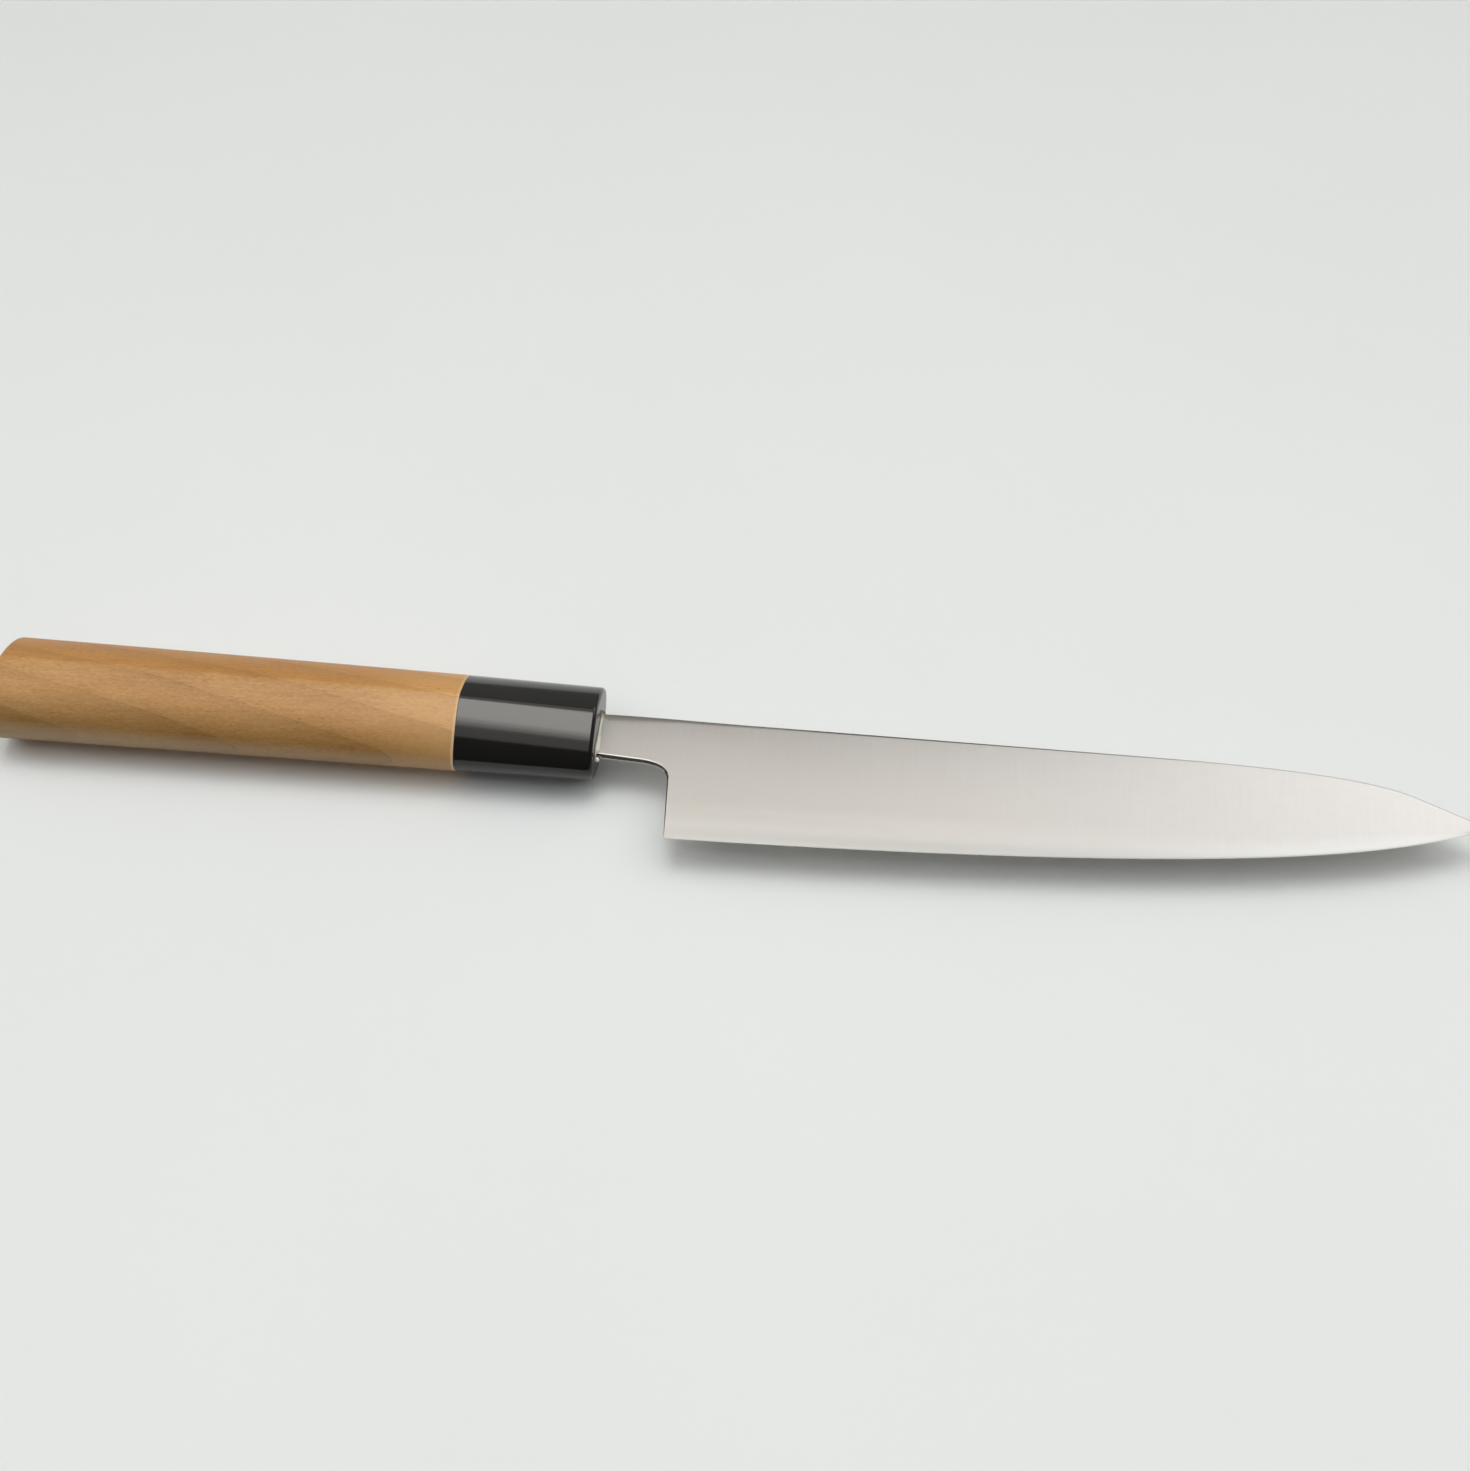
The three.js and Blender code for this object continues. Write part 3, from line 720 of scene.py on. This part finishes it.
# %% Cut the lines
SPINE_PLACES = (0.0, 1.5, 15.0, 35.0, 80.0)
SPINE_WIDTHS = (1.6, 2.8, 1.5, 0.9, 0.6)
SPINE_DEPTHS = (0.3, 0.62, 0.45, 0.35, 0.25)
CORNER_EASE = 0.15
LEAST_BAND = 3.0
BAND_SHARE, LIP_SHARE, TOP_SHARE = 0.4, 0.3, 0.3
MIDDLE_ROWS, BEVEL_ROWS, CORNER_ROWS = 40, 9, 15

length = np.linalg.norm(upper - lower, axis=1)[:, None]
on_edge = lower[:, :1] >= heel[0]
local_bevel = BEVEL_WIDTH * (upper[:, 1:] - lower[:, 1:]) / heel_height
to_heel = np.clip((choil_end[1] - lower[:, 1:]) / (choil_end[1] - heel_y), 0.0, 1.0)
to_heel = np.where(on_edge, 1.0, to_heel)
above_wall = np.maximum(heel_y + BEVEL_WIDTH - lower[:, 1:], LEAST_BAND)
band = np.minimum(np.where(on_edge, local_bevel, above_wall), BAND_SHARE * length)
lip = np.minimum(CORNER_EASE + (FINE_BEVEL_WIDTH - CORNER_EASE) * to_heel ** 4, LIP_SHARE * band)
top = np.minimum(np.interp(upper[:, :1], SPINE_PLACES, SPINE_WIDTHS), TOP_SHARE * length)
quarter = 1.0 - np.sin(np.linspace(math.pi / 2.0, 0.0, CORNER_ROWS))
from_top = top * quarter
down_band = band + (lip - band) * np.linspace(0.0, 1.0, BEVEL_ROWS)[:-1]
from_low = np.concatenate([down_band, lip * quarter[::-1]], axis=1)
start, stop = from_top[:, -1:], length - from_low[:, :1]
middle = start + (stop - start) * np.linspace(0.0, 1.0, MIDDLE_ROWS)[None, 1:-1]
down = np.concatenate([from_top, middle, length - from_low], axis=1)
flat = upper[:, None] + (lower - upper)[:, None] * (down / length)[..., None]
half, bevel_share = half_thickness(flat[..., 0], flat[..., 1])
print(f"{down.shape[1]} points down each side of a line")

# %% [markdown]
# ## Rounded by hand
#
# Spine, neck and choil are rounded so that they don't cut the finger. Along the spine a quarter of a
# superellipse takes the corner away, and the cheek under it is very slightly crowned. Under the neck and
# round the choil the wall itself is crowned: it bulges out between its two corners, by a power of the
# distance from its middle, and the corners are only just eased. This rounding draws the bright and dark lines
# under the neck, and much of the dark line along the spine. No cut may take more than a share of the steel.

# %% Round the spine and the wall
SPINE_POWER = 2.3
CHEEK_CROWN = 0.14
CHEEK_CROWN_REACH = 6.0
CORNER_DEPTH = 0.06
WALL_CROWN = 0.5
WALL_POWER = 1.4
WALL_ROWS = 13
WALL_CROWN_ENDS = (-0.5, 1.0)
CROWN_LOSS, CROWN_LOSS_ENDS = 0.5, (20.0, 45.0)
REACH_SHARE = 0.6
CROWN_SHARE, CORNER_SHARE, SPINE_SHARE = 0.3, 0.3, 0.8

near_top = 1.0 - np.clip(down / top, 0.0, 1.0)
near_low = np.where(on_edge, 0.0, 1.0 - np.clip((length - down) / lip, 0.0, 1.0))
near_spine = 1.0 - np.clip(down / np.minimum(CHEEK_CROWN_REACH, REACH_SHARE * length), 0.0, 1.0)
crown_left = 1.0 - CROWN_LOSS * ease(upper[:, :1], *CROWN_LOSS_ENDS)
cheek_crown = np.minimum(CHEEK_CROWN * crown_left, CROWN_SHARE * half[:, :1])
spine_depth = np.minimum(np.interp(upper[:, :1], SPINE_PLACES, SPINE_DEPTHS), SPINE_SHARE * half[:, :1])
half = half - spine_depth * (1.0 - np.sqrt(1.0 - near_top ** SPINE_POWER))
half = half - cheek_crown * near_spine ** 2 * (1.0 - near_top ** 2)
half = half - np.minimum(CORNER_DEPTH, CORNER_SHARE * half[:, -1:]) * (1.0 - to_heel) * near_low ** 2

along_low = np.gradient(lower, axis=0)
outward = np.stack([along_low[:, 1], -along_low[:, 0]], axis=1)
outward = outward / np.linalg.norm(outward, axis=1, keepdims=True)
corner_half = half[:, -1:]
crown = WALL_CROWN * corner_half / corner_half.max() * ease(lower[:, :1], *WALL_CROWN_ENDS)
crown = np.where(on_edge, 0.0, crown)
height = np.cos(np.linspace(0.0, math.pi, WALL_ROWS + 2))[None, 1:-1]
wall_flat = lower[:, None] + outward[:, None] * (crown * (1.0 - np.abs(height) ** WALL_POWER))[..., None]
wall = np.concatenate([wall_flat, (corner_half * height)[..., None]], axis=2)
right = np.concatenate([flat, half[..., None]], axis=2)
blade_rings = np.concatenate([right, wall, right[:, ::-1] * np.array([1.0, 1.0, -1.0])], axis=1)
print(f"thickest {2 * half.max():.2f} mm, thinnest {2 * half.min():.2f} mm")

# %% [markdown]
# ## Satin steel
#
# The steel is drawn across a belt, which leaves very fine lines from spine to edge. They are far thinner
# than a pixel, so most of their work is to spread reflections; a few coarser ones show as faint streaks. The
# grind gets finer down the cheek to the bevel's shoulder, and the steel is painted lighter there too, a
# painted reflection. The bevel comes off a stone, with an uneven border, and ends in a honed strip. Along the
# spine, and low on the bevel, the steel is painted darker: painted shade for the dark reflections there.
# Grind and painted reflection, bevel, strip and painted shade follow the blade's outline, which a pattern in
# Object coordinates can't know, so the mesh carries them as numbers on its points.

# %% Number the blade's finish
POLISH, POLISH_SPREAD, POLISH_LOSS, POLISH_LOSS_ENDS = 0.9, 1.5, 0.5, (0.0, 60.0)
# painted shade along the spine, for the dark reflections there
SPINE_SHADE, SPINE_SHADE_ENDS = 0.32, (0.2, 0.6)
SPINE_SHADE_GAIN, SPINE_SHADE_GAIN_ENDS = 0.48, (28.0, 46.0)
SPINE_SHADE_LOSS, SPINE_SHADE_LOSS_ENDS = 0.8, (75.0, 120.0)
# a finer grind and a painted reflection: the steel is painted lighter down the cheek to the bevel's shoulder
FINE_GRIND_AND_SHEEN, CHEEK_PART, SHOULDER_PART = 0.9, 0.44, 0.56
CHEEK_ENDS, SHOULDER_ENDS = (0.0, 0.75), (0.86, 1.1)
STONE_ENDS, GRIND_LOSS_ENDS = (0.45, 0.78), (50.0, 125.0)
# painted shade low on the bevel, towards the edge
BEVEL_SHADE, BEVEL_SHADE_ENDS, BEVEL_SHADE_LOSS_ENDS = 0.11, (0.55, 1.0), (95.0, 130.0)
OFF_EDGE = 9.0


def around_ring(side, below):
    """Numbers for a whole ring: down one side, across the wall, and back up the other side."""
    across = np.broadcast_to(below, (len(side), WALL_ROWS))
    return np.concatenate([side, across, side[:, ::-1]], axis=1)


station, place_x = upper[:, :1], flat[..., 0]
polished = ease(POLISH_SPREAD * near_top) * (POLISH - POLISH_LOSS * ease(station, *POLISH_LOSS_ENDS))
# painted shade: the steel darkened along the spine, then low on the bevel
film = SPINE_SHADE + SPINE_SHADE_GAIN * ease(station, *SPINE_SHADE_GAIN_ENDS)
film = (film - SPINE_SHADE_LOSS * ease(station, *SPINE_SHADE_LOSS_ENDS)) * ease(near_top, *SPINE_SHADE_ENDS)
bevel_shade = BEVEL_SHADE * ease(bevel_share, *BEVEL_SHADE_ENDS) * (1.0 - ease(place_x, *BEVEL_SHADE_LOSS_ENDS))
down_cheek = 1.0 + bevel_share * BEVEL_WIDTH / (heel_height - BEVEL_WIDTH)
fine_grind = CHEEK_PART * ease(down_cheek, *CHEEK_ENDS) + SHOULDER_PART * ease(down_cheek, *SHOULDER_ENDS)
fine_grind = FINE_GRIND_AND_SHEEN * fine_grind * (1.0 - ease(bevel_share, *STONE_ENDS))
blade_values = {
    "fine_grind": around_ring(fine_grind * (1.0 - ease(place_x, *GRIND_LOSS_ENDS)), 0.0),
    "film": around_ring(film + bevel_shade, 0.0),
    "bevel_share": around_ring(np.clip(bevel_share, 0.0, 1.0), 0.0),
    "edge_gap": around_ring(np.where(on_edge, length - down, OFF_EDGE), np.where(on_edge, 0.0, OFF_EDGE)),
    "hand_rounded": around_ring(polished, np.where(on_edge, 0.0, 1.0)),
}
print("numbers on the blade's points:", ", ".join(blade_values))

# %% Mix the steel and make the blade
GROUND, STREAKED = srgb(210, 204, 199), srgb(219, 214, 210)
# the lighter colour of the finer grind and its painted reflection
FINE_GRIND_SHEEN_COLOUR = srgb(240, 234, 226)
STONED, STONED_SHARE = srgb(224, 222, 217), 0.7
# the colour of the painted shade on the steel
SHADED_STEEL = srgb(96, 88, 78)
HONED, HONED_ENDS = srgb(199, 198, 194), (0.12, 0.34)
BORDER_WANDER, BORDER_ENDS = 0.7, (0.3, 1.1)

steel = Finish("satin_steel", Metallic=1.0)
lines = steel.noise(steel.place(scale=(1.0, 0.03, 0.2)), scale=3600.0, detail=3.0, roughness=0.6)
streak = steel.noise(steel.place(scale=(1.0, 0.05, 0.2)), scale=1500.0, detail=2.0, roughness=0.5)
cloud = steel.noise(steel.place(), scale=30.0, detail=2.0, roughness=0.5)
stone_marks = steel.noise(steel.place(scale=(1.0, 2.0, 1.0)), scale=240.0, detail=3.0, roughness=0.6)
bevel_mask = steel.between(steel.attribute("bevel_share") + stone_marks * BORDER_WANDER, *BORDER_ENDS)
honed_mask = 1.0 - steel.between(steel.attribute("edge_gap"), *HONED_ENDS)
tone = steel.mix(streak * 0.6 + cloud * 0.4, GROUND, STREAKED)
# painted reflection: lighter down the cheek to the bevel's shoulder, where the grind is finer
tone = steel.mix(steel.attribute("fine_grind"), tone, FINE_GRIND_SHEEN_COLOUR)
tone = steel.mix(bevel_mask * STONED_SHARE, tone, STONED)
# painted shade along the spine and low on the bevel
tone = steel.mix(steel.attribute("film"), tone, SHADED_STEEL)
hand_mask = steel.attribute("hand_rounded")
steel.shade(
    Base_Color=steel.mix(honed_mask, tone, HONED),
    Roughness=0.33 + cloud * 0.03 + lines * 0.05 - hand_mask * 0.2 - honed_mask * 0.06,
    Normal=steel.bump(lines, distance=0.000008, strength=0.2),
)
piece(
    "ground_blade", blade_rings, steel.material, "blade",
    poles=[(tang_x, 0.0, 0.0), (*tip, 0.0)], values=blade_values,
)

# %% [markdown]
# ## The resin at the mouth
#
# Where the neck enters the ferrule, resin keeps water out. It was wiped by hand, so its bead is uneven: it
# has pooled beside the spine, and one drop has set under the neck. The bead is carried round the steel's own
# section at the mouth, which we walk in equal steps. Its section is a quarter ellipse between the ferrule's
# face and the steel. The ellipse's size changes along the way by a sum of slow waves, a bell curve swells it
# at the pool, and it stands higher low on the cheeks. The drop is a small egg that hangs from the steel
# against the face. Both are milky and olive where the resin has pooled, with painted shade in their creases:
# the bead is painted darker where it meets the face, and the drop where it meets the steel.

# %% Walk round the neck
BEAD_STEPS = 320
CORNER_STEPS = 5

mouth_line = int(np.argmin(np.abs(lower[:, 0])))
section = blade_rings[mouth_line][:, 1:]
section = np.concatenate([section, section[:1]])
walked = np.concatenate([[0.0], np.cumsum(np.linalg.norm(np.diff(section, axis=0), axis=1))])
around = np.linspace(0.0, walked[-1], BEAD_STEPS, endpoint=False)
neck = np.stack([np.interp(around, walked, section[:, axis]) for axis in (0, 1)], axis=1)
chord = np.roll(neck, -CORNER_STEPS, axis=0) - np.roll(neck, CORNER_STEPS, axis=0)
away = np.stack([chord[:, 1], -chord[:, 0]], axis=1) / np.linalg.norm(chord, axis=1, keepdims=True)


def neck_loop(x, grown):
    """The neck's section, stood up at x and grown along its own outward direction, which turns smoothly
    round the corners."""
    loop = neck + away * np.broadcast_to(grown, around.shape)[:, None]
    return np.concatenate([np.broadcast_to(x, around.shape)[:, None], loop], axis=1)


print(f"{walked[-1]:.1f} mm round the neck")

# %% Run the bead of resin
SEAL_DEPTH = 3.0
SEAL_WIDTH = 0.08
STEEL_GAP = 0.02
BEAD_HEIGHT = 0.36
BEAD_FOOT = 0.42
BEAD_GAP = 0.01
BEAD_RISE, RISE_START, RISE_STOP, RISE_CORNER = 0.4, 2.5, 8.5, 0.4
POOL_PLACE, POOL_SPREAD, POOL_SIZE = 0.5, 0.8, 0.4
WAVES, WAVE_SIZE = ((3, 0.7, 1.0), (7, 2.1, 0.7), (13, 4.0, 0.5)), 0.1
# painted shade: the share of the bead next to the ferrule's face that is painted darker
CREASE_SHADE_SHARE = 0.35
BEAD_ROWS = 13

lap = 2.0 * math.pi * around / walked[-1]
waves = WAVE_SIZE * sum(size * np.sin(count * lap + phase) for count, phase, size in WAVES)
swell = POOL_SIZE * np.exp(-((around - POOL_PLACE) / POOL_SPREAD) ** 2)
low = ease(spine_y - neck[:, 0], RISE_START, RISE_STOP)
swell = swell + BEAD_RISE * low * ease(neck[:, 0] - neck_low[1], 0.0, RISE_CORNER)
bead_height = BEAD_HEIGHT * (1.0 + waves) + swell
bead_foot = BEAD_FOOT * (1.0 + waves) + swell
shares = np.linspace(0.0, 1.0, BEAD_ROWS)
seal_rows = [
    neck_loop(-SEAL_DEPTH, STEEL_GAP), neck_loop(-SEAL_DEPTH, SEAL_WIDTH), neck_loop(0.0, SEAL_WIDTH),
]
bead_rows = seal_rows + [
    neck_loop(BEAD_GAP + bead_height * math.sin(turn), STEEL_GAP + bead_foot * math.cos(turn))
    for turn in shares * math.pi / 2.0
]
row_shares = np.concatenate([np.zeros(len(seal_rows)), shares])
# painted shade in the crease where the bead meets the face
crease = np.repeat(1.0 - ease(row_shares, 0.0, CREASE_SHADE_SHARE), BEAD_STEPS)
print(f"the bead stands {bead_height.min():.2f} to {bead_height.max():.2f} mm off the face")

# %% Hang the drop
DROP_RADII = np.array([0.48, 0.45, 0.5])
DROP_PLACE = np.array([0.56, 0.0, 0.05])
DROP_ROWS, DROP_AROUND = 20, 36
DROP_EGG, DROP_HANG = 0.18, 0.9
# painted shade on the drop, darker towards the steel
DROP_CREASE_SHADE = (-0.1, 0.7)

fall = np.linspace(0.0, math.pi, DROP_ROWS + 2)[1:-1, None]
turn = np.linspace(0.0, 2.0 * math.pi, DROP_AROUND, endpoint=False)[None]
girth = np.sin(fall) * (1.0 - DROP_EGG * np.cos(fall))
level = np.broadcast_to(np.cos(fall), (DROP_ROWS, DROP_AROUND))
drop = np.stack([girth * np.cos(turn), level, girth * np.sin(turn)], axis=-1)
drop_middle = DROP_PLACE + [0.0, wall[mouth_line + 2, :, 1].min() - DROP_HANG * DROP_RADII[1], 0.0]
drop_grid = drop_middle + DROP_RADII * drop
drop_poles = [drop_middle + DROP_RADII * [0.0, end, 0.0] for end in (1.0, -1.0)]
drop_crease_shade = ease(level, *DROP_CREASE_SHADE)
print(f"the drop is {2 * DROP_RADII[0]:.2f} mm wide")

# %% Mix the resin and make the bead
MILKY, WHITER = srgb(232, 229, 214), srgb(250, 248, 238)
POOLED, POOLED_ENDS = srgb(88, 84, 58), (spine_y - 1.6, spine_y - 0.4)
# the colour of the painted shade in the resin's creases
SHADED_CREASE = srgb(140, 136, 116)

resin = Finish("yellow_resin", IOR=1.5)
cloudy = resin.noise(resin.place(), scale=900.0, detail=3.0, roughness=0.6)
tone = resin.mix(cloudy, MILKY, WHITER)
tone = resin.mix(resin.between(resin.coordinate("Y"), *POOLED_ENDS), tone, POOLED)
resin.shade(
    Base_Color=resin.mix(resin.attribute("crease"), tone, SHADED_CREASE),
    Roughness=0.06 + cloudy * 0.16,
    Normal=resin.bump(cloudy, distance=0.00003, strength=0.3),
)
bead_grid = np.stack(bead_rows)
piece("mouth_bead", bead_grid, resin.material, "mouth_seal", values={"crease": crease})
piece(
    "resin_drop", drop_grid, resin.material, "mouth_seal",
    poles=drop_poles, values={"crease": drop_crease_shade},
)

# %% [markdown]
# ## The bedding of the tang
#
# More resin beds the tang in the wood. Nobody sees it, so its solid is right as it is, and only its plain
# colour is replaced by the resin's finish.

# %% Finish the hidden bedding
bedding_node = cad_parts["tang_bedding"]
bedding_node.data.materials.clear()
bedding_node.data.materials.append(resin.material)
print("bedding wears", bedding_node.data.materials[0].name)

# %% [markdown]
# ## The table
#
# The table is a pale, slightly greenish grey sheet, matt and nearly even. A big plane is enough; a very
# faint mottling keeps it from looking like empty paper.

# %% Lay the table
TABLE_REACH = 6.0
PALE_GREY, PALER_GREY = srgb(230, 232, 231), srgb(235, 237, 236)

table = Finish("table_top", Specular_IOR_Level=0.25, Roughness=0.7)
mottle = table.noise(table.place(), scale=9.0, detail=3.0, roughness=0.5)
table.shade(Base_Color=table.mix(mottle, PALE_GREY, PALER_GREY))
table_mesh = bpy.data.meshes.new("table")
sides = np.array([[-1, -1, 0], [1, -1, 0], [1, 1, 0], [-1, 1, 0]]) * TABLE_REACH
table_mesh.from_pydata(sides.tolist(), [], [(0, 1, 2, 3)])
table_mesh.materials.append(table.material)
table_top = bpy.data.objects.new("table", table_mesh)
bpy.context.scene.collection.objects.link(table_top)
print(f"table {2 * TABLE_REACH:.0f} m wide")

# %% [markdown]
# ## The light
#
# The light of a photograph can be read back from the object. The polished ferrule is a mirror: going down
# its flank we see a small bright light straight above that fades out in steps, a broad paler one round it
# that ends in a clean line towards the viewer, then a dark room, then the table. Round its front rim there
# is no light to be seen, so the paler light is screened to the right: there it lights the table, and mirrors
# don't show it. Three brighter, smaller panels hang just under the pale one, a little to the left. Another,
# which only mirrors show, stands behind and to the right, where the steel looks: it brightens the blade
# towards the tip. The last, which mirrors don't show, hangs high on the viewer's side and fills the shadows.
# Brightness is set as radiance, the number a mirror would show; power follows from a lamp's area.

# %% Hang the lights


def panel(name, centre, aim, size, radiance, matt=True, mirrored=True):
    """A rectangular soft light: power is pi times area times radiance."""
    data = bpy.data.lights.new(name, "AREA")
    data.shape = "RECTANGLE"
    data.size, data.size_y = size
    data.energy = math.pi * size[0] * size[1] * radiance
    lamp = bpy.data.objects.new(name, data)
    lamp.location = centre
    lamp.rotation_euler = (Vector(aim) - Vector(centre)).to_track_quat("-Z", "Y").to_euler()
    lamp.visible_diffuse, lamp.visible_glossy = matt, mirrored
    bpy.context.scene.collection.objects.link(lamp)
    print(f"{name}: {data.energy:.1f} W")
    return data


PANEL_Y, PANEL_Z, PANEL_DEPTH = -0.03, 1.0, 1.16
BRIGHT_X, BRIGHT_WIDTH, BRIGHT_RADIANCE = -0.085, 0.37, 1.48
BRIGHT_STEPS = (("low", 0.97, -0.14, 0.22), ("mid", 0.98, -0.21, 0.24), ("top", 0.99, -0.29, 0.26))
COOL_BACK, COOL_FILL = (0.95, 0.99, 1.04), (0.92, 0.97, 1.0)


def hang(name, x, y, z, size, radiance, mirrored=True):
    """A panel that faces straight down."""
    panel(name, (x, y, z), (x, y, 0.0), size, radiance, mirrored=mirrored)


hang("pale_panel", -0.69, PANEL_Y, PANEL_Z, (1.62, PANEL_DEPTH), radiance=0.78)
hang("screened_panel", 0.81, PANEL_Y, PANEL_Z, (1.38, PANEL_DEPTH), radiance=1.22, mirrored=False)
for step, z, before, behind in BRIGHT_STEPS:
    size = (BRIGHT_WIDTH, behind - before)
    hang("bright_panel_" + step, BRIGHT_X, (before + behind) / 2.0, z, size, BRIGHT_RADIANCE)
back = panel("back_panel", (0.51, 0.59, 0.74), (0.08, 0.0, 0.0), (0.74, 0.5), radiance=1.41, matt=False)
back.color = COOL_BACK
fill = panel("fill_panel", (-0.45, -0.72, 1.1), (0.0, 0.0, 0.0), (1.4, 0.7), radiance=0.78, mirrored=False)
fill.color = COOL_FILL

# %% [markdown]
# ## The room
#
# Behind the table the room is grey, darker towards its floor, and on the viewer's side it is nearly black. A
# world that fades with the direction's y, and a little with its height, is all that the reflections need.

# %% Dim the room
ROOM_BEFORE, ROOM_BEHIND, ROOM_ENDS = 0.07, 0.43, (-0.4, 0.5)
ROOM_SKIRTING, SKIRTING_ENDS = 0.56, (0.1, 0.65)
ROOM_COLOUR = (1.0, 0.99, 0.93, 1.0)

room = bpy.data.worlds.new("room")
room.use_nodes = True
nodes, links = room.node_tree.nodes, room.node_tree.links
heading = nodes.new("ShaderNodeTexCoord").outputs["Generated"]
split = nodes.new("ShaderNodeSeparateXYZ")
links.new(heading, split.inputs["Vector"])


def fade(axis, ends, first, last):
    """A number that runs straight from first to last while the direction's axis runs between the ends."""
    made = nodes.new("ShaderNodeMapRange")
    for name, value in zip(("From Min", "From Max", "To Min", "To Max"), (*ends, first, last)):
        made.inputs[name].default_value = value
    links.new(split.outputs[axis], made.inputs["Value"])
    return made.outputs["Result"]


both = nodes.new("ShaderNodeMath")
both.operation = "MULTIPLY"
links.new(fade("Y", ROOM_ENDS, ROOM_BEFORE, ROOM_BEHIND), both.inputs[0])
links.new(fade("Z", SKIRTING_ENDS, ROOM_SKIRTING, 1.0), both.inputs[1])
links.new(both.outputs["Value"], nodes["Background"].inputs["Strength"])
nodes["Background"].inputs["Color"].default_value = ROOM_COLOUR
bpy.context.scene.world = room
print(f"room from {ROOM_BEFORE} before to {ROOM_BEHIND} behind")
